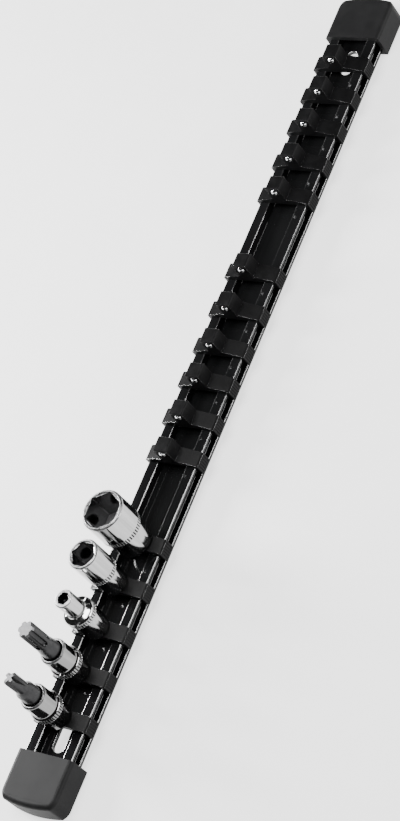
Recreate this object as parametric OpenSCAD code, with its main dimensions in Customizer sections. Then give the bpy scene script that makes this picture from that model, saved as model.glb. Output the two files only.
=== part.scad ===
// Quarter-inch socket rail: a C-edged extrusion closed by two end caps, carrying
// sixteen sliding clips. Each clip has a square post with a sprung detent ball.
// The five clips nearest the lower end hold three sockets and two bit sockets.
//
// X runs along the rail, Y across it, and Z out of its open face. The origin is
// below the middle of the part, in the plane that the end caps rest on.

/* [Rail] */
// Length over both end caps
overall_length = 352; // [344:2:400]
// Width over the rail's lips and flanges
rail_width = 21.4; // [21:0.1:21.8]
// Height of the rail from its flanges to its lips
rail_height = 6.8; // [6.6:0.1:7.2]
// Width of each lip's top face
lip_width = 4.3; // [4.1:0.1:4.5]
// Thickness of each lip
lip_thickness = 1.3; // [1.1:0.1:1.5]
// Thickness of the two bottom flanges
flange_thickness = 1.6; // [1.4:0.1:1.8]
// Thickness of the upright walls
wall_thickness = 1.8; // [1.6:0.1:2]
// Thickness of the floor of the channel
floor_thickness = 1.7; // [1.5:0.1:1.9]
// Depth of the channel below the lips
channel_depth = 3.5; // [3.3:0.1:3.6]

/* [Mounting slots] */
// Width of each mounting slot
slot_width = 5; // [4:0.2:6]
// Length of each mounting slot, end to end
slot_length = 11.2; // [9:0.2:13]
// Distance of each slot's centre from the nearer end of the part
slot_inset = 28.5; // [27:0.5:30]

/* [End caps] */
// Width of each end cap
cap_width = 25; // [24.6:0.2:26]
// Height of each end cap
cap_height = 10.9; // [10.6:0.1:11.6]
// Length of each end cap
cap_length = 20; // [19:0.5:21]
// Thickness of the cap's back, which lifts the rail off a wall
cap_back = 2; // [1.6:0.1:2.1]
// Length of rail that goes into each cap
cap_grip = 16; // [14:0.5:16]
// Radius of the cap's long front edges
cap_edge_radius = 1.8; // [1.2:0.1:2]
// Radius of the cap's outer corners in plan
cap_corner_radius = 5; // [3:0.5:7]

/* [Clips] */
// Length of each clip along the rail
clip_length = 6.1; // [5.6:0.1:6.6]
// Width of each clip over its two jaws
clip_width = 24; // [23.8:0.1:24.4]
// Height of the seat that a socket rests on
seat_height = 12; // [11.6:0.1:12.6]
// Height of the shoulder at the top of each jaw
shoulder_height = 10.1; // [9.8:0.1:10.4]
// Gap between a clip and the lips that it slides on
clip_play = 0.08; // [0.03:0.01:0.1]

/* [Posts and balls] */
// Across-flats size of the square post
post_size = 6.2; // [6:0.1:6.2]
// Length of the post above the seat
post_length = 7.3; // [7:0.1:8]
// Chamfer round the end of the post
post_chamfer = 0.5; // [0.3:0.1:0.7]
// Diameter of the detent ball
ball_diameter = 3; // [2.8:0.1:3.1]
// Distance from the end of the post to the ball's centre
ball_drop = 2.6; // [2.4:0.1:2.8]
// How far a free ball stands out of the post
ball_reach = 0.7; // [0.5:0.05:0.8]
// Gap round the ball in its bore
ball_play = 0.05; // [0.03:0.01:0.08]

/* [Sockets] */
// Gap on each side between a post and a square drive recess
drive_play = 0.15; // [0.12:0.01:0.2]
// Length of the three sockets
socket_length = 24; // [23:0.5:25.5]
// Diameter of the large socket
large_diameter = 16.8; // [16:0.1:17.2]
// Hexagon size across flats in the large socket
large_hex = 13; // [11:0.5:13]
// Diameter of the medium socket
medium_diameter = 12.2; // [12:0.1:12.8]
// Hexagon size across flats in the medium socket
medium_hex = 9; // [7:0.5:9]
// Diameter of the small socket's body
small_diameter = 12.2; // [11.8:0.1:12.6]
// Diameter of the small socket's nose
nose_diameter = 7.4; // [7:0.1:8]
// Hexagon size across flats in the small socket
small_hex = 4.5; // [4:0.5:5]
// Length of the two bit sockets
holder_length = 18.2; // [17:0.2:19]
// Diameter of the bit sockets at the drive end
holder_diameter = 12.2; // [11.8:0.1:12.6]
// Diameter of the bit sockets at the bit end
holder_nose = 10.4; // [10:0.1:10.8]
// Diameter of a bit's round foot, pressed into its bit socket
bit_foot = 8; // [7.6:0.1:8.2]
// Diameter of the star bit over its lobes
star_diameter = 6.6; // [6.2:0.1:6.8]
// Length of the star bit's flutes
star_flute = 9.6; // [7:0.2:10]
// Diameter of the cross-point bit over its wings
cross_diameter = 5.3; // [5:0.1:5.8]
// How far the star bit stands out of its bit socket
star_reach = 18.2; // [17:0.2:19]
// How far the cross-point bit stands out of its bit socket
cross_reach = 15.6; // [15:0.2:16.6]

/* [Hidden] */

$fn = 48;

// The clear stretch of rail between the two cap mouths is shared out among the clips,
// counted from the upper end. The last five of them are loaded.
clear_half = overall_length / 2 - cap_length;
clip_share = [
    0.920, 0.822, 0.724, 0.619, 0.519, 0.293, 0.183, 0.079,
    -0.018, -0.121, -0.222, -0.455, -0.569, -0.683, -0.797, -0.910
];
first_loaded = 11;

rail_half = rail_width / 2;
rail_top = cap_back + rail_height;
lip_inner = rail_half - lip_width;
lip_under = rail_top - lip_thickness;
wall_outer = lip_inner + wall_thickness;
flange_top = cap_back + flange_thickness;
floor_top = rail_top - channel_depth;
floor_under = floor_top - floor_thickness;
rail_length = overall_length - 2 * (cap_length - cap_grip);

cap_half = cap_width / 2;
cap_play = 0.05;

jaw_inner = rail_half + clip_play;
jaw_outer = clip_width / 2;
jaw_bottom = flange_top + 0.8;
hook_top = lip_under - clip_play;
hook_bottom = jaw_bottom + 1.3;
hook_inner = wall_outer + 0.4;

post_half = post_size / 2;
post_top = seat_height + post_length;
ball_radius = ball_diameter / 2;
bore_radius = ball_radius + ball_play;
bore_end = post_half - 0.8;
ball_height = post_top - ball_drop;
// A loaded ball is held in by the wall of the drive recess, with a hair of room to spare.
held_reach = drive_play - 0.03;

spring_radius = ball_radius - 0.45;
wire_radius = 0.2;

drive_half = post_half + drive_play;
drive_depth = post_length + 0.9;

function clip_x(i) = clip_share[i] * clear_half;
function reach(i) = i < first_loaded ? ball_reach : held_reach;

// Both halves of a section from the points of its right half, which runs from the
// middle out and back to the middle.
module both_halves(half) {
    last = len(half) - 1;
    polygon(concat(half, [for (k = [last:-1:0]) [-half[k][0], half[k][1]]]));
}

module rail_section() {
    both_halves([
        [lip_inner, floor_under], [lip_inner, cap_back], [rail_half, cap_back],
        [rail_half, flange_top], [wall_outer, flange_top], [wall_outer, lip_under],
        [rail_half, lip_under], [rail_half, rail_top], [lip_inner, rail_top],
        [lip_inner, floor_top]
    ]);
}

// Stands a section drawn in Y and Z along X, centred on the origin.
module along_x(length) {
    translate([-length / 2, 0, 0])
        rotate([90, 0, 90])
            linear_extrude(height = length)
                children();
}

// An upright slot with round ends.
module slot_cut(length, width, height) {
    for (s = [-1, 1])
        translate([s * (length - width) / 2, 0, 0])
            cylinder(h = height, d = width);
    translate([-(length - width) / 2, -width / 2, 0])
        cube([length - width, width, height]);
}

module rail() {
    color([0.035, 0.036, 0.038])
    difference() {
        along_x(rail_length)
            rail_section();
        for (s = [-1, 1])
            translate([s * (overall_length / 2 - slot_inset), 0, floor_under - 1])
                slot_cut(slot_length, slot_width, floor_thickness + 2);
    }
}

// Cross-section of a cap, flat behind and rounded along its two front edges.
module cap_section() {
    r = cap_edge_radius;
    for (s = [-1, 1])
        translate([s * (cap_half - r), cap_height - r])
            circle(r = r);
    translate([-cap_half, 0])
        square([cap_width, cap_height - r]);
    translate([-(cap_half - r), cap_height - r - 1])
        square([cap_width - 2 * r, r + 1]);
}

// Plan of a cap with its mouth on the Y axis and its closed end out along X.
module cap_plan() {
    r = cap_corner_radius;
    bulge = 2 * cap_width;
    intersection() {
        union() {
            translate([-1, -cap_half])
                square([cap_length - r + 1, cap_width]);
            for (s = [-1, 1])
                translate([cap_length - r - 0.9, s * (cap_half - r)])
                    circle(r = r);
            translate([0, -(cap_half - r)])
                square([cap_length, cap_width - 2 * r]);
        }
        translate([cap_length - bulge, 0])
            circle(r = bulge, $fn = 180);
    }
}

// One cap with its mouth at the origin, hollowed out to slide over the rail's end.
module end_cap() {
    depth = cap_grip + 0.2;
    difference() {
        intersection() {
            translate([cap_length / 2, 0, 0])
                along_x(cap_length)
                    cap_section();
            linear_extrude(height = cap_height + 1)
                cap_plan();
        }
        translate([-1, -rail_half - cap_play, cap_back - cap_play])
            cube([depth + 1, rail_width + 2 * cap_play, rail_height + 2 * cap_play]);
    }
}

module end_cap_lower() {
    color([0.14, 0.14, 0.145])
        translate([-clear_half, 0, 0])
            mirror([1, 0, 0])
                end_cap();
}

module end_cap_upper() {
    color([0.14, 0.14, 0.145])
        translate([clear_half, 0, 0])
            end_cap();
}

// The saddle that bridges the channel and hooks under both lips.
module saddle_section() {
    both_halves([
        [jaw_inner, rail_top + clip_play], [jaw_inner, hook_top], [hook_inner, hook_top],
        [hook_inner, hook_bottom + 0.4], [hook_inner + 0.4, hook_bottom],
        [jaw_inner, hook_bottom], [jaw_inner + 0.3, jaw_bottom],
        [jaw_outer - 0.3, jaw_bottom], [jaw_outer, jaw_bottom + 0.3],
        [jaw_outer, shoulder_height - 0.7], [jaw_outer - 0.15, shoulder_height - 0.25],
        [jaw_outer - 0.6, shoulder_height], [jaw_outer - 1.6, shoulder_height + 0.2],
        [post_half + 0.9, seat_height - 0.15], [post_half + 0.5, seat_height]
    ]);
}

module post_side() {
    c = post_chamfer;
    polygon([
        [-post_half, 0], [post_half, 0], [post_half, post_length - c],
        [post_half - c, post_length], [-post_half + c, post_length],
        [-post_half, post_length - c]
    ]);
}

module post() {
    intersection() {
        along_x(post_size) post_side();
        rotate([0, 0, 90]) along_x(post_size) post_side();
    }
}

// The ball's bore, with a mouth that narrows just enough to keep the ball in.
module ball_bore() {
    into = bore_end + post_half;
    mouth = sqrt(pow(ball_radius, 2) - pow(ball_radius - ball_reach, 2)) + ball_play;
    rotate([0, 90, 0])
        rotate_extrude()
            polygon([
                [0, -0.5], [mouth, -0.5], [mouth, 0], [bore_radius, 0.45],
                [bore_radius, into], [0, into]
            ]);
}

module clip(i) {
    color([0.075, 0.076, 0.08])
    translate([clip_x(i), 0, 0])
    difference() {
        union() {
            along_x(clip_length)
                saddle_section();
            translate([0, 0, seat_height])
                post();
        }
        translate([-post_half, 0, ball_height])
            ball_bore();
    }
}

module ball(i) {
    color([0.78, 0.79, 0.8])
        translate([clip_x(i) - post_half - reach(i) + ball_radius, 0, ball_height])
            sphere(r = ball_radius);
}

// A coil along Z of round wire: rings of points that climb steadily round the axis.
module coil(length, turns) {
    sides = 6;
    rings = turns * 8;
    points = [
        for (k = [0:rings], j = [0:sides - 1])
            let (a = 360 * turns * k / rings, r = spring_radius + wire_radius * cos(60 * j))
                [r * cos(a), r * sin(a), length * k / rings + wire_radius * sin(60 * j)]
    ];
    skin = [
        for (k = [0:rings - 1], j = [0:sides - 1])
            let (p = k * sides + j, q = k * sides + (j + 1) % sides)
                each [[p, q, q + sides], [p, q + sides, p + sides]]
    ];
    ends = [
        for (j = [1:sides - 2])
            each [[0, j + 1, j], [rings * sides, rings * sides + j, rings * sides + j + 1]]
    ];
    polyhedron(points, concat(skin, ends));
}

// The spring that pushes the ball out, between the ball's back and the bore's end.
module spring(i) {
    start = -post_half - reach(i) + ball_diameter + 0.05;
    length = bore_end - 0.25 - start;
    color([0.6, 0.6, 0.62])
        translate([clip_x(i) + start, 0, ball_height])
            rotate([0, 90, 0])
                coil(length, 3);
}

// A square recess for the post, open at the drive end.
module drive_cut() {
    translate([-drive_half, -drive_half, -1])
        cube([2 * drive_half, 2 * drive_half, drive_depth + 1]);
}

// A hexagonal recess of the given size across flats, open upwards and turned in plan.
module hex_cut(flats, from, to, turn) {
    translate([0, 0, from])
        rotate([0, 0, turn])
            cylinder(h = to - from + 1, d = flats / cos(30), $fn = 6);
}

// A socket body turned from [radius, height] points, standing on the seat of clip i.
module turned(i, points) {
    translate([clip_x(i), 0, seat_height])
        rotate_extrude($fn = 64)
            polygon(concat([[0, 0]], points, [[0, points[len(points) - 1][1]]]));
}

module socket_large() {
    r = large_diameter / 2;
    l = socket_length;
    color([0.82, 0.83, 0.84])
    difference() {
        turned(11, [
            [7.1, 0], [7.5, 0.4], [7.5, 0.8], [r - 0.1, l / 2 - 1.8], [r, l / 2 - 1.5],
            [r, l - 0.7], [r - 0.2, l - 0.2], [r - 0.7, l]
        ]);
        translate([clip_x(11), 0, seat_height]) {
            drive_cut();
            hex_cut(large_hex, l - 13, l, 0);
            translate([0, 0, l - 0.5])
                cylinder(h = 1, r1 = large_hex / 2 + 0.4, r2 = large_hex / 2 + 1.4);
            cylinder(h = l - 1, d = 6);
        }
    }
}

module socket_medium() {
    r = medium_diameter / 2;
    l = socket_length;
    color([0.82, 0.83, 0.84])
    difference() {
        turned(12, [
            [4.8, 0], [5.2, 0.4], [5.2, 0.8], [r - 0.1, l / 2 - 1.7], [r, l / 2 - 1.4],
            [r, l - 0.6], [r - 0.2, l - 0.2], [r - 0.5, l]
        ]);
        translate([clip_x(12), 0, seat_height]) {
            drive_cut();
            hex_cut(medium_hex, l - 11, l, 30);
            translate([0, 0, l - 0.4])
                cylinder(h = 1, r1 = medium_hex / 2 + 0.1, r2 = medium_hex / 2 + 1.1);
            cylinder(h = l - 1, d = 5);
        }
    }
}

module socket_small() {
    r = small_diameter / 2;
    n = nose_diameter / 2;
    l = socket_length;
    color([0.82, 0.83, 0.84])
    difference() {
        turned(13, [
            [4.9, 0], [5.3, 0.4], [5.3, 0.8], [r - 0.1, l / 2 - 1.1], [r, l / 2 - 0.8],
            [r, l / 2 + 1.3], [r - 0.3, l / 2 + 1.8], [r - 1, l / 2 + 2.2],
            [n + 0.3, l / 2 + 2.6], [n, l / 2 + 3.1], [n, l - 0.4], [n - 0.3, l]
        ]);
        translate([clip_x(13), 0, seat_height]) {
            drive_cut();
            hex_cut(small_hex, l - 9, l, 30);
            cylinder(h = l - 1, d = 3.6);
        }
    }
}

// A short body with a stepped nose and a round hole for the bit's foot.
module bit_socket(i) {
    r = holder_diameter / 2;
    n = holder_nose / 2;
    l = holder_length;
    color([0.82, 0.83, 0.84])
    difference() {
        turned(i, [
            [4.9, 0], [5.3, 0.4], [5.3, 0.8], [r - 0.1, l - 11.2], [r, l - 10.9],
            [r, l - 8.7], [r - 0.3, l - 8.3], [n + 0.15, l - 8], [n, l - 7.6],
            [n, l - 0.5], [n - 0.4, l]
        ]);
        translate([clip_x(i), 0, seat_height]) {
            drive_cut();
            translate([0, 0, drive_depth + 1])
                cylinder(h = l, d = bit_foot + 0.02);
            translate([0, 0, l - 0.4])
                cylinder(h = 0.5, r1 = bit_foot / 2, r2 = bit_foot / 2 + 0.5);
        }
    }
}

module bit_socket_star() {
    bit_socket(14);
}

module bit_socket_cross() {
    bit_socket(15);
}

// A bit's round foot, from the bottom of its hole to just below the mouth.
module bit_base(i) {
    foot = holder_length - drive_depth - 1.6;
    translate([clip_x(i), 0, seat_height + drive_depth + 1])
        rotate_extrude()
            polygon([
                [0, 0], [bit_foot / 2, 0], [bit_foot / 2, foot],
                [bit_foot / 2 - 0.9, foot + 0.9], [0, foot + 0.9]
            ]);
}

// A round shank from the foot up to a shoulder, and on to a narrower tip of its own.
module bit_shank(i, reach, tip, shoulder, end) {
    r = bit_foot / 2 - 0.3;
    translate([clip_x(i), 0, seat_height + holder_length - 1])
        rotate_extrude()
            polygon([
                [0, 0], [r, 0], [r - 0.1, shoulder], [tip + 0.1, shoulder + 1.8],
                [tip, shoulder + 2.2], [tip, reach + 0.2], [end, reach + 1], [0, reach + 1]
            ]);
}

// Six flutes with round ends, run in from the tip of the star bit.
module star_flutes() {
    width = star_diameter * 0.36;
    depth = star_diameter * 0.535;
    translate([clip_x(14), 0, seat_height + holder_length])
        for (k = [0:5])
            rotate(k * 60 + 12)
                translate([depth, 0, star_reach - star_flute]) {
                    cylinder(h = star_flute + 1, d = width, $fn = 32);
                    sphere(d = width, $fn = 32);
                }
}

module bit_star() {
    color([0.42, 0.42, 0.43])
    union() {
        bit_base(14);
        difference() {
            bit_shank(14, star_reach, star_diameter / 2, star_reach - star_flute - 4.2,
                star_diameter / 2 - 0.4);
            star_flutes();
        }
    }
}

// Four V grooves, deepest at the tip of the cross-point bit, that leave its four wings.
module bit_cross() {
    color([0.42, 0.42, 0.43])
    union() {
        bit_base(15);
        difference() {
            bit_shank(15, cross_reach, cross_diameter / 2, cross_reach - 9.6,
                cross_diameter / 2 - 0.9);
            translate([clip_x(15), 0, seat_height + holder_length + cross_reach + 0.2])
                for (k = [0:3])
                    rotate([0, 0, k * 90 + 11])
                        translate([0.75, 0, 0])
                            rotate([0, -14, 0])
                                rotate([0, 0, -45])
                                    translate([0, 0, -11])
                                        cube([6, 6, 13]);
        }
    }
}

rail();
end_cap_lower();
end_cap_upper();
clip(0);  // clip_01
clip(1);  // clip_02
clip(2);  // clip_03
clip(3);  // clip_04
clip(4);  // clip_05
clip(5);  // clip_06
clip(6);  // clip_07
clip(7);  // clip_08
clip(8);  // clip_09
clip(9);  // clip_10
clip(10);  // clip_11
clip(11);  // clip_12
clip(12);  // clip_13
clip(13);  // clip_14
clip(14);  // clip_15
clip(15);  // clip_16
ball(0);  // ball_01
ball(1);  // ball_02
ball(2);  // ball_03
ball(3);  // ball_04
ball(4);  // ball_05
ball(5);  // ball_06
ball(6);  // ball_07
ball(7);  // ball_08
ball(8);  // ball_09
ball(9);  // ball_10
ball(10);  // ball_11
ball(11);  // ball_12
ball(12);  // ball_13
ball(13);  // ball_14
ball(14);  // ball_15
ball(15);  // ball_16
spring(0);  // spring_01
spring(1);  // spring_02
spring(2);  // spring_03
spring(3);  // spring_04
spring(4);  // spring_05
spring(5);  // spring_06
spring(6);  // spring_07
spring(7);  // spring_08
spring(8);  // spring_09
spring(9);  // spring_10
spring(10);  // spring_11
spring(11);  // spring_12
spring(12);  // spring_13
spring(13);  // spring_14
spring(14);  // spring_15
spring(15);  // spring_16
socket_large();
socket_medium();
socket_small();
bit_socket_star();
bit_socket_cross();
bit_star();
bit_cross();
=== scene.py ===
import math

import bmesh
import bpy
from mathutils import Matrix, Vector


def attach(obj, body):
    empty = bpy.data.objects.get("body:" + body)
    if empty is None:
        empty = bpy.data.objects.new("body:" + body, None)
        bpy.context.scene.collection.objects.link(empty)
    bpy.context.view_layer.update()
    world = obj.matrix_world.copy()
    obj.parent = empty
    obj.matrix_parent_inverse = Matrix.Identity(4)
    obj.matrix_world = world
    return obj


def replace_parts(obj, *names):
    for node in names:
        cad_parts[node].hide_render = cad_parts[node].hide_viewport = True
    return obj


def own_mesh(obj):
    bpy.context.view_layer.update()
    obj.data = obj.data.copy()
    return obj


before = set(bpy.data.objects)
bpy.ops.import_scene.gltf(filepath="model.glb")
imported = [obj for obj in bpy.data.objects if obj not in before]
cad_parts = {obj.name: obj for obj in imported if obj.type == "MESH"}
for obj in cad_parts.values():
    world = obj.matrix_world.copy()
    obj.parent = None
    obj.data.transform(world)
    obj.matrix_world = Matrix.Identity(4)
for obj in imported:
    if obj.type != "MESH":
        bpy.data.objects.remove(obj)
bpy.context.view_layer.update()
MM = 0.001

# Sizes are in millimetres. The rail lies along X with its open side up, and the caps hold it off the floor.
RAIL_HALF_LENGTH = 172
RAIL_HALF_WIDTH = 10.7
RAIL_BACK = 2
RAIL_TOP = 8.8
CAP_MOUTH = 156
CAP_END = 176
# Where the clips stand along the rail, counted from the upper end, as shares of the free length.
CLIP_X = [CAP_MOUTH * share for share in (
    0.920, 0.822, 0.724, 0.619, 0.519, 0.293, 0.183, 0.079,
    -0.018, -0.121, -0.222, -0.455, -0.569, -0.683, -0.797, -0.910)]
# The clips from this place in the list on carry a load.
FIRST_LOADED = 11
# The height of a saddle's top, where a socket stands, and half the width of a square post.
SEAT = 12.0
POST = 3.1
# The bore in a post that holds a ball and its spring: its height, and its blind end from the post's middle.
BORE_HEIGHT = 16.7
BORE_END = 2.3

# The knurled bands, from one ring to the next above a socket's foot, and the radius outside their teeth.
LARGE_BAND = (10.6, 12.4)
MEDIUM_BAND = (10.7, 12.4)
SMALL_BAND = (11.4, 13.2)
HOLDER_BAND = (7.5, 9.3)
LARGE_RADIUS = 8.4
SLIM_RADIUS = 6.1

# The places of the finishes on the rail, on a clip, on a socket after its plating and on a bit after its steel.
GLOSSY, WORN, SIDE_SHADE = range(3)
MOULDED, RUBBED = range(2)
BROACHED, BARE, GROOVE_SHADE, SCUFFED_HIGHLIGHT = range(1, 5)
BARE_TIP = 1


# ---- Hand tools ----

def nothing():
    """Puts every piece down."""
    if bpy.context.mode != "OBJECT":
        bpy.ops.object.mode_set(mode="OBJECT")
    bpy.ops.object.select_all(action="DESELECT")


def only(piece):
    """Puts every piece down and takes this one up."""
    nothing()
    piece.select_set(True)
    bpy.context.view_layer.objects.active = piece
    return piece


def to_origin(piece):
    """Lays a piece's place, turn and size down into its mesh."""
    only(piece)
    bpy.ops.object.transform_apply(location=True, rotation=True, scale=True)
    return piece


def block(name, low, high):
    """A cube between two corners."""
    nothing()
    middle = [(a + b) / 2 * MM for a, b in zip(low, high)]
    bpy.ops.mesh.primitive_cube_add(size=1, location=middle)
    piece = bpy.context.object
    piece.name = name
    piece.scale = [(b - a) * MM for a, b in zip(low, high)]
    return to_origin(piece)


def rod(name, radius, start, end, sides=48, turn=(0, 0, 0), tip=None):
    """A cylinder from start to end, or a cone where a tip radius is given, turned to lie along the two."""
    nothing()
    middle = (Vector(start) + Vector(end)) / 2 * MM
    length = (Vector(end) - Vector(start)).length * MM
    if tip is None:
        bpy.ops.mesh.primitive_cylinder_add(vertices=sides, radius=radius * MM, depth=length,
                                            location=middle, rotation=turn)
    else:
        bpy.ops.mesh.primitive_cone_add(vertices=sides, radius1=radius * MM, radius2=tip * MM, depth=length,
                                        location=middle, rotation=turn)
    bpy.context.object.name = name
    return to_origin(bpy.context.object)


def shaping(piece, mode="FACE"):
    """Opens a piece in edit mode with nothing chosen."""
    only(piece)
    bpy.ops.object.mode_set(mode="EDIT")
    bpy.ops.mesh.select_mode(type=mode)
    bpy.ops.mesh.select_all(action="DESELECT")


def choose(piece, parts, test):
    """Chooses the faces, edges or corners that the test says."""
    bpy.ops.mesh.select_all(action="DESELECT")
    mesh = bmesh.from_edit_mesh(piece.data)
    for part in getattr(mesh, parts):
        if test(part):
            part.select_set(True)
    mesh.select_flush_mode()
    bmesh.update_edit_mesh(piece.data)


def at(part):
    """The middle of a face, edge or corner, in millimetres."""
    if hasattr(part, "calc_center_median"):
        return part.calc_center_median() / MM
    if hasattr(part, "co"):
        return part.co / MM
    return (part.verts[0].co + part.verts[1].co) / 2 / MM


def reach(place, x):
    """How far a place lies from the upright axis at x."""
    return math.hypot(place.x - x, place.y)


def level(edge, height):
    """Whether an edge lies flat at a height."""
    return all(abs(corner.co.z / MM - height) < 1e-3 for corner in edge.verts)


def upright(edge):
    """Whether an edge stands up, so that its ends differ in height."""
    return abs(edge.verts[0].co.z - edge.verts[1].co.z) > 2 * MM


def split(piece, point, normal, clear_outer=False, fill=False):
    """Slices the whole piece by a plane."""
    only(piece)
    bpy.ops.object.mode_set(mode="EDIT")
    bpy.ops.mesh.select_mode(type="FACE")
    bpy.ops.mesh.select_all(action="SELECT")
    bpy.ops.mesh.bisect(plane_co=[c * MM for c in point], plane_no=normal, use_fill=fill,
                        clear_outer=clear_outer, threshold=1e-7)
    bpy.ops.object.mode_set(mode="OBJECT")


def slice_off(piece, point, normal):
    """Takes off what lies outside a plane and closes the cut."""
    split(piece, point, normal, clear_outer=True, fill=True)


def settle(piece):
    """Joins doubled corners and turns the faces outwards."""
    only(piece)
    bpy.ops.object.mode_set(mode="EDIT")
    bpy.ops.mesh.select_all(action="SELECT")
    bpy.ops.mesh.remove_doubles(threshold=2e-6)
    bpy.ops.mesh.normals_make_consistent(inside=False)
    bpy.ops.object.mode_set(mode="OBJECT")
    return piece


def cut(piece, tool, way="DIFFERENCE"):
    """Cuts a piece with a tool body, or joins the two or keeps what they share, and puts the tool away."""
    only(piece)
    change = piece.modifiers.new("cut", "BOOLEAN")
    change.operation = way
    change.solver = "EXACT"
    change.object = tool
    bpy.ops.object.modifier_apply(modifier=change.name)
    bpy.data.objects.remove(tool, do_unlink=True)
    return piece


def soften(piece, width, segments=2, angle=32, rubbed=-1):
    """Breaks the edges sharper than an angle, in their own finish if one is named, and shades smooth."""
    only(piece)
    round_off = piece.modifiers.new("edges", "BEVEL")
    round_off.width = width * MM
    round_off.segments = segments
    round_off.limit_method = "ANGLE"
    round_off.angle_limit = math.radians(angle)
    round_off.use_clamp_overlap = True
    round_off.miter_outer = "MITER_ARC"
    round_off.material = rubbed
    bpy.ops.object.modifier_apply(modifier=round_off.name)
    bpy.ops.object.shade_smooth_by_angle(angle=math.radians(35))
    even = piece.modifiers.new("even", "WEIGHTED_NORMAL")
    even.keep_sharp = True
    even.weight = 80
    bpy.ops.object.modifier_apply(modifier=even.name)
    return piece


def refinish(piece, index, test):
    """Gives the faces that the test says the finish with that index."""
    shaping(piece)
    choose(piece, "faces", test)
    piece.active_material_index = index
    bpy.ops.object.material_slot_assign()
    bpy.ops.object.mode_set(mode="OBJECT")
    return piece


def another(piece, name, shift):
    """A copy with its own mesh, moved along the rail."""
    copy = piece.copy()
    copy.data = piece.data.copy()
    copy.name = name
    bpy.context.scene.collection.objects.link(copy)
    copy.location = (shift * MM, 0, 0)
    return to_origin(copy)


def turned(name, x, rings, sides):
    """A body turned on an upright axis at x: an open ring drawn up from one (radius, height) to the next.

    The heights count from the seat, and both ends are closed.
    """
    first_radius, foot = rings[0]
    nothing()
    bpy.ops.mesh.primitive_circle_add(vertices=sides, radius=first_radius * MM, fill_type="NOTHING",
                                      location=(x * MM, 0, (SEAT + foot) * MM))
    piece = bpy.context.object
    piece.name = name
    to_origin(piece)
    shaping(piece, "EDGE")
    bpy.ops.mesh.select_all(action="SELECT")
    for (radius, height), (next_radius, next_height) in zip(rings, rings[1:]):
        rise = (0, 0, (next_height - height) * MM)
        bpy.ops.mesh.extrude_edges_move(TRANSFORM_OT_translate={"value": rise})
        bpy.ops.transform.resize(value=(next_radius / radius, next_radius / radius, 1),
                                 center_override=(x * MM, 0, 0))
    bpy.ops.mesh.edge_face_add()
    choose(piece, "edges", lambda e: level(e, SEAT + foot))
    bpy.ops.mesh.edge_face_add()
    bpy.ops.object.mode_set(mode="OBJECT")
    return settle(piece)


def knurl(piece, x, band, teeth, depth):
    """Presses V grooves into the band between two rings; each tooth has four corners round the ring."""
    shaping(piece, "VERT")
    low, high = band
    step = 2 * math.pi / teeth / 4

    def groove_bottom(corner):
        place = at(corner)
        if min(abs(place.z - SEAT - low), abs(place.z - SEAT - high)) > 1e-3:
            return False
        return round(math.atan2(place.y, place.x - x) / step) % 4 == 1

    choose(piece, "verts", groove_bottom)
    chosen = next(corner for corner in bmesh.from_edit_mesh(piece.data).verts if corner.select)
    outer = reach(at(chosen), x)
    inward = (outer - depth) / outer
    bpy.ops.transform.resize(value=(inward, inward, 1), center_override=(x * MM, 0, 0))
    bpy.ops.object.mode_set(mode="OBJECT")


# ---- Finishes ----

class Finish:
    """A finish in the making: one shader, and patterns that lie still on the piece."""

    def __init__(self, name, metallic=0.0):
        self.material = bpy.data.materials.new(name)
        self.material.use_nodes = True
        self.nodes = self.material.node_tree.nodes
        self.links = self.material.node_tree.links
        self.shader = self.nodes["Principled BSDF"]
        self.shader.inputs["Metallic"].default_value = metallic
        self.place = self.nodes.new("ShaderNodeTexCoord").outputs["Object"]

    def grain(self, scale, stretch=(1, 1, 1), detail=3.0, roughness=0.55):
        """Noise, stretched as the tool marks run."""
        mapping = self.nodes.new("ShaderNodeMapping")
        mapping.inputs["Scale"].default_value = stretch
        noise = self.nodes.new("ShaderNodeTexNoise")
        noise.inputs["Scale"].default_value = scale
        noise.inputs["Detail"].default_value = detail
        noise.inputs["Roughness"].default_value = roughness
        self.links.new(self.place, mapping.inputs["Vector"])
        self.links.new(mapping.outputs["Vector"], noise.inputs["Vector"])
        return noise.outputs["Fac"]

    def colour(self, pattern, span, dark, light):
        """Varies the colour between two greys over a span of a pattern."""
        ramp = self.nodes.new("ShaderNodeValToRGB")
        for stop, position, grey in zip(ramp.color_ramp.elements, span, (dark, light)):
            stop.position = position
            stop.color = (*grey, 1)
        self.links.new(pattern, ramp.inputs["Fac"])
        self.links.new(ramp.outputs["Color"], self.shader.inputs["Base Color"])

    def roughness(self, pattern, span, limits):
        """Varies the roughness between two limits over a span of a pattern."""
        ramp = self.nodes.new("ShaderNodeMapRange")
        ramp.inputs["From Min"].default_value, ramp.inputs["From Max"].default_value = span
        ramp.inputs["To Min"].default_value, ramp.inputs["To Max"].default_value = limits
        self.links.new(pattern, ramp.inputs["Value"])
        self.links.new(ramp.outputs["Result"], self.shader.inputs["Roughness"])

    def relief(self, pattern, strength, distance):
        """Raises a pattern by a distance in millimetres."""
        bump = self.nodes.new("ShaderNodeBump")
        bump.inputs["Strength"].default_value = strength
        bump.inputs["Distance"].default_value = distance * MM
        self.links.new(pattern, bump.inputs["Height"])
        self.links.new(bump.outputs["Normal"], self.shader.inputs["Normal"])


def anodised_black(name, shine):
    """Black anodising over the faint lines of the extruding die, as glossy as its shine says."""
    finish = Finish(name)
    lines = finish.grain(1, (0.6, 1900, 1900), detail=2)
    cloud = finish.grain(60, (0.4, 1, 1))
    finish.colour(cloud, (0.3, 0.75), (0.0020, 0.0021, 0.0022), (0.0044, 0.0045, 0.0047))
    finish.roughness(lines, (0.3, 0.75), (0.08, 0.13))
    finish.shader.inputs["Specular IOR Level"].default_value = shine
    finish.relief(lines, strength=0.02, distance=0.01)
    return finish.material


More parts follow.
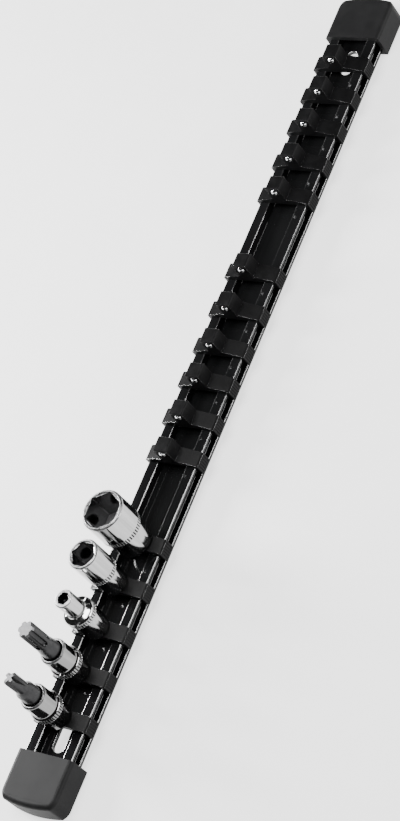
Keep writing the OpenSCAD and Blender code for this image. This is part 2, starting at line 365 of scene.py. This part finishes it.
def worn_anodising():
    """The rail's corners, where the anodising is thin and polished by handling."""
    finish = Finish("worn_anodising")
    worn = finish.grain(120, (0.6, 1, 1))
    finish.colour(worn, (0.3, 0.8), (0.010, 0.010, 0.0103), (0.022, 0.022, 0.0224))
    finish.roughness(worn, (0.3, 0.8), (0.14, 0.22))
    finish.shader.inputs["IOR"].default_value = 2.4
    return finish.material


def cap_rubber():
    """Matt moulded rubber with a fine even grain and a few rubbed patches."""
    finish = Finish("cap_rubber")
    fine = finish.grain(2400, detail=2, roughness=0.6)
    rubbed = finish.grain(90, detail=4)
    finish.colour(rubbed, (0.35, 0.75), (0.0066, 0.0066, 0.0068), (0.0104, 0.0104, 0.0106))
    finish.roughness(rubbed, (0.3, 0.8), (0.42, 0.54))
    finish.shader.inputs["Specular IOR Level"].default_value = 0.058
    finish.relief(fine, strength=0.25, distance=0.03)
    return finish.material


def clip_plastic():
    """Fine-grained moulded black plastic, a little shinier where it rubs."""
    finish = Finish("clip_plastic")
    fine = finish.grain(2100, roughness=0.6)
    worn = finish.grain(260)
    finish.colour(worn, (0.3, 0.8), (0.003, 0.003, 0.0031), (0.0052, 0.0052, 0.0054))
    finish.roughness(worn, (0.3, 0.8), (0.30, 0.44))
    finish.shader.inputs["Specular IOR Level"].default_value = 0.045
    finish.relief(fine, strength=0.3, distance=0.03)
    return finish.material


def rubbed_plastic():
    """The plastic of the clips' edges, rubbed smooth by use."""
    finish = Finish("rubbed_plastic")
    worn = finish.grain(500)
    finish.colour(worn, (0.3, 0.8), (0.012, 0.012, 0.0123), (0.022, 0.022, 0.0224))
    finish.roughness(worn, (0.3, 0.8), (0.16, 0.26))
    finish.shader.inputs["IOR"].default_value = 2.0
    return finish.material


def socket_chrome(name, dark, light):
    """Bright plating with turning lines, between two greys, which scatters most up and down the socket."""
    finish = Finish(name, metallic=1.0)
    marks = finish.grain(240, (1, 1, 0.6), detail=5)
    streaks = finish.grain(1, (700, 700, 25))
    finish.colour(streaks, (0.3, 0.7), (dark, dark, dark), (light, light, light))
    finish.roughness(marks, (0.35, 0.8), (0.08, 0.12))
    finish.shader.inputs["Anisotropic"].default_value = 0.5
    # The direction of the scatter is upwards and wanders a little from place to place.
    wander = finish.nodes.new("ShaderNodeTexNoise")
    wander.inputs["Scale"].default_value = 900.0
    finish.links.new(finish.place, wander.inputs["Vector"])
    upward = finish.nodes.new("ShaderNodeVectorMath")
    upward.operation = "MULTIPLY_ADD"
    upward.inputs[1].default_value = (0.04, 0.04, 0.0)
    upward.inputs[2].default_value = (-0.02, -0.02, 1.0)
    finish.links.new(wander.outputs["Color"], upward.inputs[0])
    finish.links.new(upward.outputs["Vector"], finish.shader.inputs["Tangent"])
    return finish.material


def broached_bore():
    """The inside walls of a socket, darker than the outside and scratched by the broach."""
    finish = Finish("broached_bore", metallic=1.0)
    broach = finish.grain(1, (1500, 1500, 90))
    cloud = finish.grain(300, (1, 1, 0.4), detail=4)
    finish.colour(cloud, (0.3, 0.75), (0.20, 0.20, 0.203), (0.30, 0.30, 0.303))
    finish.roughness(broach, (0.3, 0.8), (0.10, 0.17))
    finish.relief(broach, strength=0.05, distance=0.012)
    return finish.material


def bare_steel():
    """Bare steel, ground to a rough satin: the steps in the bores and the tips of the bits."""
    finish = Finish("bare_steel", metallic=1.0)
    ground = finish.grain(1400)
    finish.colour(ground, (0.3, 0.75), (0.085, 0.085, 0.087), (0.13, 0.13, 0.132))
    finish.roughness(ground, (0.3, 0.8), (0.45, 0.6))
    return finish.material


def worn_rim_and_highlight():
    """The plating of a socket's rim, scuffed by use, and painted lighter than the rest as a highlight."""
    finish = Finish("worn_rim_and_highlight", metallic=1.0)
    scuffs_and_sheen = finish.grain(800, detail=4)
    finish.colour(scuffs_and_sheen, (0.3, 0.75), (0.38, 0.38, 0.383), (0.50, 0.50, 0.503))
    finish.roughness(scuffs_and_sheen, (0.3, 0.8), (0.24, 0.36))
    return finish.material


def painted_groove_shade():
    """Painted shade: a dark, matt grey in the knurl's grooves."""
    finish = Finish("painted_groove_shade")
    mottle = finish.grain(1100)
    finish.colour(mottle, (0.3, 0.75), (0.010, 0.010, 0.0102), (0.028, 0.028, 0.0283))
    finish.roughness(mottle, (0.3, 0.8), (0.4, 0.6))
    return finish.material


def bit_steel():
    """Grey phosphated steel with a satin blast."""
    finish = Finish("bit_steel", metallic=1.0)
    blast = finish.grain(1500, (1, 1, 0.5))
    cloud = finish.grain(170, (1, 1, 0.7), detail=4)
    finish.colour(cloud, (0.3, 0.75), (0.022, 0.022, 0.0225), (0.043, 0.043, 0.044))
    finish.roughness(cloud, (0.3, 0.8), (0.26, 0.38))
    finish.relief(blast, strength=0.12, distance=0.015)
    return finish.material


def ball_steel():
    """Polished bearing steel."""
    finish = Finish("ball_steel", metallic=1.0)
    marks = finish.grain(900)
    finish.colour(marks, (0.3, 0.75), (0.74, 0.745, 0.755), (0.84, 0.845, 0.85))
    finish.roughness(marks, (0.3, 0.8), (0.06, 0.14))
    return finish.material


def spring_wire():
    """Drawn spring wire."""
    finish = Finish("spring_wire", metallic=1.0)
    drawn = finish.grain(1800)
    finish.colour(drawn, (0.3, 0.75), (0.42, 0.42, 0.43), (0.58, 0.58, 0.59))
    finish.roughness(drawn, (0.3, 0.8), (0.25, 0.4))
    return finish.material


def line_bore(piece, x, radius):
    """Gives the walls and steps inside a socket, within a radius of its axis, their finishes."""
    rim = SEAT + 23.6

    def wall(face):
        place = at(face)
        inward = face.normal.x * (place.x - x) + face.normal.y * place.y < -0.2 * reach(place, x)
        return reach(place, x) < radius and inward and SEAT + 0.5 < place.z < rim

    def step(face):
        place = at(face)
        return reach(place, x) < radius and face.normal.z > 0.9 and place.z < rim

    refinish(piece, BROACHED, wall)
    refinish(piece, BARE, step)


def paint_groove_shade(piece, x, band, outer):
    """Paints shade into the grooves of a knurled band, below the radius outside its teeth."""
    low, high = band

    def in_groove(face):
        place = at(face)
        deep = outer - 0.8 < reach(place, x) < outer - 0.09
        return deep and SEAT + low - 0.1 < place.z < SEAT + high + 0.1

    refinish(piece, GROOVE_SHADE, in_groove)


def scuffed_highlight_top(piece):
    """Gives the top of a socket's rim the worn plating, whose lighter grey is partly a painted highlight."""
    top = max(corner.co.z for corner in piece.data.vertices) / MM
    refinish(piece, SCUFFED_HIGHLIGHT, lambda f: f.normal.z > 0.45 and at(f).z > top - 0.5)


def bare_tip(piece, height):
    """Gives the worn end of a bit, above a height, the bare steel's finish."""
    return refinish(piece, BARE_TIP, lambda f: at(f).z > SEAT + height and f.normal.z > 0.35)


def dress(piece, material, body):
    """Gives a piece its finish, unless it has its own already, and the body that it moves with."""
    if not piece.data.materials:
        piece.data.materials.append(material)
    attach(piece, body)
    return piece


# ---- The rail ----

def rail_extrusion(finishes):
    """A standing plane, sliced into cells and cleared of the hollow ones, is drawn out along the rail."""
    channel_wall, groove_wall = 6.4, 8.2
    flange_top, channel_floor, lip_under = 3.6, 5.3, 7.5
    middle = (RAIL_BACK + RAIL_TOP) / 2
    nothing()
    bpy.ops.mesh.primitive_plane_add(size=1, location=(-RAIL_HALF_LENGTH * MM, 0, middle * MM),
                                     rotation=(0, math.pi / 2, 0))
    rail = bpy.context.object
    rail.name = "rail_extrusion"
    rail.scale = ((RAIL_TOP - RAIL_BACK) * MM, 2 * RAIL_HALF_WIDTH * MM, 1)
    to_origin(rail)
    for y in (-groove_wall, -channel_wall, channel_wall, groove_wall):
        split(rail, (0, y, 0), (0, 1, 0))
    for z in (flange_top, channel_floor, lip_under):
        split(rail, (0, 0, z), (0, 0, 1))
    shaping(rail)

    def hollow(face):
        place = at(face)
        y, z = abs(place.y), place.z
        under_lip = y > groove_wall and flange_top < z < lip_under
        over_or_under_floor = y < channel_wall and (z < flange_top or z > channel_floor)
        return under_lip or over_or_under_floor

    choose(rail, "faces", hollow)
    bpy.ops.mesh.delete(type="FACE")
    bpy.ops.mesh.select_all(action="SELECT")
    bpy.ops.mesh.dissolve_limited(angle_limit=math.radians(1))
    bpy.ops.mesh.select_all(action="SELECT")
    along = (2 * RAIL_HALF_LENGTH * MM, 0, 0)
    bpy.ops.mesh.extrude_region_move(TRANSFORM_OT_translate={"value": along})
    bpy.ops.object.mode_set(mode="OBJECT")
    settle(rail)

    # A round-ended slot for a screw goes through the floor near each end.
    slot_half_width = 2.5
    for x in (-147.5, 147.5):
        slot = block("slot", (x - 5.6, -slot_half_width, 2.6), (x + 5.6, slot_half_width, 6.3))
        shaping(slot, "EDGE")
        choose(slot, "edges", upright)
        bpy.ops.mesh.bevel(offset=(slot_half_width - 0.001) * MM, segments=12, affect="EDGES")
        settle(slot)
        cut(rail, slot)
    for finish in finishes:
        rail.data.materials.append(finish)
    soften(rail, 0.34, 3, rubbed=WORN)

    def inner_corner(face):
        """Nothing rubs the corners deep in the channel and in the grooves under the lips."""
        place = at(face)
        y, z = abs(place.y), place.z
        in_channel = abs(y - channel_wall) < 0.4 and abs(z - channel_floor) < 0.4
        in_groove = abs(y - groove_wall) < 0.4 and min(abs(z - flange_top), abs(z - lip_under)) < 0.4
        return in_channel or in_groove

    refinish(rail, GLOSSY, inner_corner)
    # The upright faces take the less shiny copy of the anodising, which paints shade on them.
    return refinish(rail, SIDE_SHADE, lambda f: abs(f.normal.y) > 0.95)


# ---- The end caps ----

def cap(name, side):
    """A block with a bulged end and rounded front edges, hollowed to take the rail's end."""
    half_width, height = 12.5, 10.9
    corner_radius, bulge_radius = 5, 50
    play, end_play = 0.05, 0.2
    near, far = sorted((side * CAP_MOUTH, side * CAP_END))
    piece = block(name, (near, -half_width, 0), (far, half_width, height))
    shaping(piece, "EDGE")
    choose(piece, "edges", lambda e: upright(e) and abs(at(e).x) > 170)
    bpy.ops.mesh.bevel(offset=corner_radius * MM, segments=10, affect="EDGES")
    bpy.ops.object.mode_set(mode="OBJECT")
    middle = side * (CAP_END - bulge_radius)
    bulge = rod("bulge", bulge_radius, (middle, 0, -5), (middle, 0, 20), sides=220)
    cut(piece, bulge, "INTERSECT")
    settle(piece)
    shaping(piece, "EDGE")
    # The front edges are round and the back ones only broken, and both stay sharp at the mouth.
    for z, radius, segments in ((height, 1.8, 6), (0, 0.5, 3)):
        choose(piece, "edges", lambda e: level(e, z) and abs(at(e).x) > CAP_MOUTH + 0.01)
        bpy.ops.mesh.bevel(offset=radius * MM, segments=segments, affect="EDGES", clamp_overlap=False)
    bpy.ops.object.mode_set(mode="OBJECT")
    settle(piece)
    near, far = sorted((side * (CAP_MOUTH - 1), side * (RAIL_HALF_LENGTH + end_play)))
    across = RAIL_HALF_WIDTH + play
    cut(piece, block("hollow", (near, -across, RAIL_BACK - play), (far, across, RAIL_TOP + play)))
    return soften(settle(piece), 0.22, angle=40)


# ---- The clips ----

def clip(name, x, finishes):
    """A saddle plate with sloping sides, a ribbed jaw and its hook on each side, and a square post."""
    half_width, half_length = 3.05, 12
    jaw = 10.78
    saddle = block(name, (x - half_width, -half_length, 8.88), (x + half_width, half_length, SEAT))
    # The plate slopes down to each side from beside the post, and more steeply over the jaw.
    for s in (-1, 1):
        split(saddle, (x, s * jaw, 0), (0, 1, 0))
        slice_off(saddle, (x, s * 3.6, SEAT), (0, s * 0.2245, 1))
        slice_off(saddle, (x, s * 11.4, 10.1), (0, s * 0.9, 1))
    settle(saddle)

    # The jaws are drawn down in three steps, and a hook is drawn in from the middle one.
    shaping(saddle)
    for drop in (1.46, 1.72, 1.3):
        choose(saddle, "faces", lambda f: abs(at(f).y) > jaw and f.normal.z < -0.9)
        bpy.ops.mesh.extrude_region_move(TRANSFORM_OT_translate={"value": (0, 0, -drop * MM)})
    for s in (-1, 1):
        choose(saddle, "faces", lambda f: s * at(f).y > 0 and s * f.normal.y < -0.9 and 5.7 < at(f).z < 7.42)
        bpy.ops.mesh.extrude_region_move(TRANSFORM_OT_translate={"value": (0, -s * 2.18 * MM, 0)})
    bpy.ops.object.mode_set(mode="OBJECT")
    settle(saddle)
    for s in (-1, 1):
        low_y, high_y = sorted((s * 11.8, s * 12.4))
        for k in range(5):
            rib = x + (k - 2) * 1.05
            cut(saddle, block("rib", (rib - 0.2, low_y, 4.9), (rib + 0.2, high_y, 9.1)))

    post = block("post", (x - POST, -POST, 10.4), (x + POST, POST, 19.3))
    shaping(post, "EDGE")
    choose(post, "edges", lambda e: all(corner.co.z > 19 * MM for corner in e.verts))
    bpy.ops.mesh.bevel(offset=0.5 * MM, segments=3, affect="EDGES")
    bpy.ops.object.mode_set(mode="OBJECT")
    cut(saddle, post, "UNION")
    mouth, blind_end = (x - 5, 0, BORE_HEIGHT), (x + BORE_END, 0, BORE_HEIGHT)
    cut(saddle, rod("bore", 1.55, mouth, blind_end, 32, turn=(0, math.pi / 2, 0)))
    settle(saddle)
    for finish in finishes:
        saddle.data.materials.append(finish)
    soften(saddle, 0.26, angle=30, rubbed=RUBBED)
    # The ribs keep the grain of the mould.
    return refinish(saddle, MOULDED, lambda f: abs(at(f).y) > 11.6 and 4.7 < at(f).z < 9.3)


def ball(name, x):
    """A round ball on the bore's axis."""
    nothing()
    bpy.ops.mesh.primitive_uv_sphere_add(segments=40, ring_count=20, radius=1.5 * MM,
                                         location=(x * MM, 0, BORE_HEIGHT * MM))
    piece = bpy.context.object
    piece.name = name
    to_origin(piece)
    bpy.ops.object.shade_smooth()
    return piece


def spring(name, x, start, length):
    """Three turns of round wire along the bore's axis, capped at both ends."""
    turns = 3
    nothing()
    bpy.ops.mesh.primitive_circle_add(vertices=10, radius=0.2 * MM, location=(0, 1.05 * MM, 0))
    piece = bpy.context.object
    piece.name = name
    to_origin(piece)
    wind = piece.modifiers.new("wind", "SCREW")
    wind.axis = "X"
    wind.iterations = turns
    wind.screw_offset = length / turns * MM
    wind.steps = 24
    wind.render_steps = 24
    bpy.ops.object.modifier_apply(modifier=wind.name)
    shaping(piece, "EDGE")
    for low, high in ((-1, 0.3), (length - 0.3, length + 1)):
        choose(piece, "edges", lambda e: e.is_boundary and low < at(e).x < high)
        bpy.ops.mesh.edge_face_add()
    bpy.ops.object.mode_set(mode="OBJECT")
    piece.location = ((x + start) * MM, 0, BORE_HEIGHT * MM)
    to_origin(piece)
    bpy.ops.object.shade_smooth_by_angle(angle=math.radians(50))
    return settle(piece)


# ---- The sockets ----

def drive_recess(piece, x):
    """The square recess that goes over a post."""
    half, depth = 3.25, 8.2
    cut(piece, block("drive", (x - half, -half, SEAT - 1), (x + half, half, SEAT + depth)))


def hexagon(piece, x, flats, low, turn=0.0):
    """A hexagonal recess with eased corners, from a height above the seat out of the top."""
    corner_radius = flats / 2 / math.cos(math.radians(30))
    tool = rod("hexagon", corner_radius, (x, 0, SEAT + low), (x, 0, SEAT + 26), 6,
               turn=(0, 0, math.radians(turn)))
    shaping(tool, "EDGE")
    choose(tool, "edges", upright)
    bpy.ops.mesh.bevel(offset=0.3 * MM, segments=3, affect="EDGES")
    settle(tool)
    cut(piece, tool)


def hole(piece, x, radius, low, high, sides=48):
    """A round hole on the axis, between two heights above the seat."""
    cut(piece, rod("hole", radius, (x, 0, SEAT + low), (x, 0, SEAT + high), sides))


def countersink(piece, x, low, high, inner, outer):
    """A cone on the axis that opens upwards."""
    cut(piece, rod("countersink", inner, (x, 0, SEAT + low), (x, 0, SEAT + high), 96, tip=outer))


def plated(piece):
    """A socket's edges, broken as plating leaves them."""
    return soften(settle(piece), 0.1, angle=24)


def large_socket(x):
    piece = turned("large_socket", x, [
        (7.1, 0), (7.5, 0.4), (7.5, 0.8), (8.25, 10.1), (8.4, 10.45), (8.4, 10.6), (8.4, 12.4), (8.4, 12.55),
        (8.4, 23.3), (8.25, 23.6), (7.7, 24)], 192)
    knurl(piece, x, LARGE_BAND, teeth=48, depth=0.5)
    hexagon(piece, x, flats=13, low=11, turn=30)
    hole(piece, x, radius=3, low=7, high=14)
    drive_recess(piece, x)
    countersink(piece, x, low=23.5, high=24.5, inner=6.9, outer=7.9)
    return plated(piece)


def medium_socket(x):
    piece = turned("medium_socket", x, [
        (4.8, 0), (5.2, 0.4), (5.2, 0.8), (5.95, 10.2), (6.1, 10.5), (6.1, 10.7), (6.1, 12.4), (6.1, 12.6),
        (6.1, 23.35), (5.97, 23.65), (5.55, 24)], 144)
    knurl(piece, x, MEDIUM_BAND, teeth=36, depth=0.45)
    hexagon(piece, x, flats=9, low=13)
    hole(piece, x, radius=2.5, low=7, high=15)
    drive_recess(piece, x)
    countersink(piece, x, low=23.6, high=24.5, inner=4.75, outer=5.6)
    return plated(piece)


def small_socket(x):
    piece = turned("small_socket", x, [
        (4.9, 0), (5.3, 0.4), (5.3, 0.8), (5.95, 10.9), (6.1, 11.2), (6.1, 11.4), (6.1, 13.2), (6.1, 13.3),
        (5.8, 13.8), (5.1, 14.2), (4.0, 14.6), (3.7, 15.1), (3.7, 23.5), (3.62, 23.72), (3.3, 24)], 144)
    knurl(piece, x, SMALL_BAND, teeth=36, depth=0.45)
    hexagon(piece, x, flats=4.5, low=15)
    hole(piece, x, radius=1.8, low=7, high=16, sides=32)
    drive_recess(piece, x)
    return plated(piece)


def bit_socket(name, x):
    piece = turned(name, x, [
        (4.9, 0), (5.3, 0.4), (5.3, 0.8), (5.95, 7.0), (6.1, 7.3), (6.1, 7.5), (6.1, 9.3), (6.1, 9.5),
        (5.8, 9.9), (5.35, 10.2), (5.2, 10.6), (5.2, 17.4), (5.08, 17.75), (4.55, 18.2)], 144)
    knurl(piece, x, HOLDER_BAND, teeth=36, depth=0.45)
    hole(piece, x, radius=4, low=9.2, high=20, sides=64)
    drive_recess(piece, x)
    countersink(piece, x, low=17.7, high=18.3, inner=4, outer=4.3)
    return plated(piece)


def bit_shank(name, x, reach_up, tip, shoulder, end):
    """A pressed-in foot, a round shank above it and a narrower tip, turned in one."""
    return turned(name, x, [
        (3.98, 9.2), (3.98, 16.0), (3.72, 16.8), (3.7, 17.4), (3.6, 17.2 + shoulder),
        (tip + 0.1, 19.0 + shoulder), (tip, 19.4 + shoulder),
        (tip, reach_up + 17.4), (end, reach_up + 18.2)], 96)


def star_bit(x):
    """Six flutes with round ends, run in from the tip of a tapered shank."""
    shank = bit_shank("star_bit", x, reach_up=18.2, tip=3.3, shoulder=4.4, end=2.9)
    flute_radius, flute_reach, flute_end = 1.19, 3.53, SEAT + 26.8
    for k in range(6):
        turn = math.radians(60 * k + 12)
        a, b = x + flute_reach * math.cos(turn), flute_reach * math.sin(turn)
        flute = rod("flute", flute_radius, (a, b, flute_end), (a, b, SEAT + 38), 32)
        nothing()
        bpy.ops.mesh.primitive_uv_sphere_add(segments=32, ring_count=16, radius=flute_radius * MM,
                                             location=(a * MM, b * MM, flute_end * MM))
        cut(flute, to_origin(bpy.context.object), "UNION")
        cut(shank, flute)
    return soften(settle(shank), 0.2, 3, 25)


def cross_bit(x):
    """Four V grooves, tilted in to the point, cut into a tapered shank."""
    shank = bit_shank("cross_bit", x, reach_up=15.6, tip=2.65, shoulder=6.0, end=1.75)
    groove_top, groove_tilt = SEAT + 34, 14
    for k in range(4):
        tool = block("groove", (0, 0, -11), (6, 6, 2))
        tool.matrix_world = (
            Matrix.Translation(Vector((x, 0, groove_top)) * MM)
            @ Matrix.Rotation(math.radians(90 * k + 11), 4, "Z")
            @ Matrix.Translation(Vector((0.75, 0, 0)) * MM)
            @ Matrix.Rotation(math.radians(-groove_tilt), 4, "Y")
            @ Matrix.Rotation(math.radians(-45), 4, "Z"))
        to_origin(tool)
        cut(shank, tool)
    return soften(settle(shank), 0.12, angle=25)


# ---- Put together ----

black = anodised_black("anodised_black", shine=0.45)
# A less shiny copy of the anodising, which paints shade on the rail's upright faces.
side_shade_black = anodised_black("side_shade_anodising", shine=0.2)
rubber = cap_rubber()
plastic = clip_plastic()
chrome = socket_chrome("socket_chrome", 0.32, 0.43)
satin = socket_chrome("satin_chrome", 0.17, 0.24)
broached = broached_bore()
bare = bare_steel()
groove_shade = painted_groove_shade()
scuffed_highlight = worn_rim_and_highlight()
grey_steel = bit_steel()
bearing = ball_steel()
wire = spring_wire()

rail = rail_extrusion((black, worn_anodising(), side_shade_black))
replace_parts(dress(rail, black, "rail_body"), "rail")
for name, side, node in (("cap_lower", -1, "end_cap_lower"), ("cap_upper", 1, "end_cap_upper")):
    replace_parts(dress(cap(name, side), rubber, "rail_body"), node)

# On an empty post the ball stands out. A load presses it in, and the spring behind it together.
free_x, held_x = CLIP_X[0], CLIP_X[FIRST_LOADED]
ball_out, ball_shift = 2.3, 0.58
first_clip = clip("moulded_clip_01", free_x, (plastic, rubbed_plastic()))
first_ball = ball("detent_ball_01", free_x - ball_out)
free_spring = spring("detent_spring_01", free_x, start=-0.75, length=2.8)
held_spring = spring("detent_spring_12", held_x, start=-0.17, length=2.22)
for i, x in enumerate(CLIP_X):
    tag = "%02d" % (i + 1)
    loaded = i >= FIRST_LOADED
    held = ball_shift if loaded else 0
    model, model_x = (held_spring, held_x) if loaded else (free_spring, free_x)
    one_clip = first_clip if i == 0 else another(first_clip, "moulded_clip_" + tag, x - free_x)
    one_ball = first_ball if i == 0 else another(first_ball, "detent_ball_" + tag, x - free_x + held)
    one_spring = model if x == model_x else another(model, "detent_spring_" + tag, x - model_x)
    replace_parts(dress(one_clip, plastic, "clip_body_" + tag), "clip_" + tag)
    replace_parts(dress(one_ball, bearing, "ball_body_" + tag), "ball_" + tag)
    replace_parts(dress(one_spring, wire, "clip_body_" + tag), "spring_" + tag)
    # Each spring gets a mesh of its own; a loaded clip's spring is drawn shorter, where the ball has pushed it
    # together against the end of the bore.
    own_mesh(one_spring)

large_x, medium_x, small_x, star_x, cross_x = CLIP_X[FIRST_LOADED:]
for piece, node, x, mouth, band, outer in (
        (large_socket(large_x), "socket_large", large_x, 7.2, LARGE_BAND, LARGE_RADIUS),
        (medium_socket(medium_x), "socket_medium", medium_x, 4.95, MEDIUM_BAND, SLIM_RADIUS),
        (small_socket(small_x), "socket_small", small_x, 2.35, SMALL_BAND, SLIM_RADIUS),
        (bit_socket("star_holder", star_x), "bit_socket_star", star_x, 4.1, HOLDER_BAND, SLIM_RADIUS),
        (bit_socket("cross_holder", cross_x), "bit_socket_cross", cross_x, 4.1, HOLDER_BAND, SLIM_RADIUS)):
    # The bit sockets are plated duller than the others.
    plating = satin if node.startswith("bit_socket") else chrome
    dress(piece, plating, node + "_body")
    for finish in (broached, bare, groove_shade, scuffed_highlight):
        piece.data.materials.append(finish)
    line_bore(piece, x, mouth)
    # The knurl's grooves get a painted shade.
    paint_groove_shade(piece, x, band, outer)
    # The rim's top gets worn plating that is partly a painted highlight.
    scuffed_highlight_top(piece)
    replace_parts(piece, node)
for piece, body, node, worn in (
        (star_bit(star_x), "bit_socket_star_body", "bit_star", 35.5),
        (cross_bit(cross_x), "bit_socket_cross_body", "bit_cross", 32)):
    dress(piece, grey_steel, body)
    piece.data.materials.append(bare)
    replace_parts(bare_tip(piece, worn), node)


# ---- Floor, light and camera ----

def pale_floor():
    """Pale paper, a hair below the caps."""
    nothing()
    bpy.ops.mesh.primitive_plane_add(size=8, location=(0, 0, -0.4 * MM))
    floor = bpy.context.object
    floor.name = "pale_floor"
    to_origin(floor)
    paper = Finish("pale_floor")
    paper.colour(paper.grain(40), (0.3, 0.7), (0.34, 0.34, 0.34), (0.36, 0.36, 0.36))
    paper.shader.inputs["Roughness"].default_value = 0.9
    paper.shader.inputs["Emission Color"].default_value = (1, 1, 1, 1)
    paper.shader.inputs["Emission Strength"].default_value = 1.7
    floor.data.materials.append(paper.material)


def soft_light(name, place, target, width, height, power):
    """A rectangular light that faces a target, in metres and watts."""
    nothing()
    bpy.ops.object.light_add(type="AREA", location=place)
    light = bpy.context.object
    light.name = name
    light.data.shape = "RECTANGLE"
    light.data.size = width
    light.data.size_y = height
    light.data.energy = power
    way = Vector(target) - Vector(place)
    light.rotation_euler = way.to_track_quat("-Z", "Y").to_euler()


pale_floor()
soft_light("side_strip", (0.40, -1.05, 0.36), (0, 0, 0), 1.1, 0.32, 21)
soft_light("behind", (-0.04, 0.54, 0.27), (-0.12, 0, 0), 0.22, 0.22, 17)
soft_light("overhead", (-0.02, 0, 0.5), (0, 0, 0), 0.3, 0.3, 6)

world = bpy.data.worlds.new("studio")
bpy.context.scene.world = world
world.use_nodes = True
world.node_tree.nodes["Background"].inputs["Color"].default_value = (1, 1, 1, 1)
world.node_tree.nodes["Background"].inputs["Strength"].default_value = 0.04

# The camera stands where the photograph was taken from: its place in metres, and its own three directions.
nothing()
bpy.ops.object.camera_add(location=(-0.3205, -0.5222, 0.6676))
camera = bpy.context.object
camera.name = "camera"
right = Vector((0.3676, -0.8054, -0.465))
up = Vector((0.8645, 0.1117, 0.49))
back = Vector((-0.3428, -0.5821, 0.7373))
camera.rotation_euler = Matrix((right, up, back)).transposed().to_euler()
camera.data.sensor_fit = "VERTICAL"
camera.data.sensor_height = 36
camera.data.lens = 104.86
camera.data.clip_start = 0.02
camera.data.clip_end = 30
bpy.context.scene.camera = camera
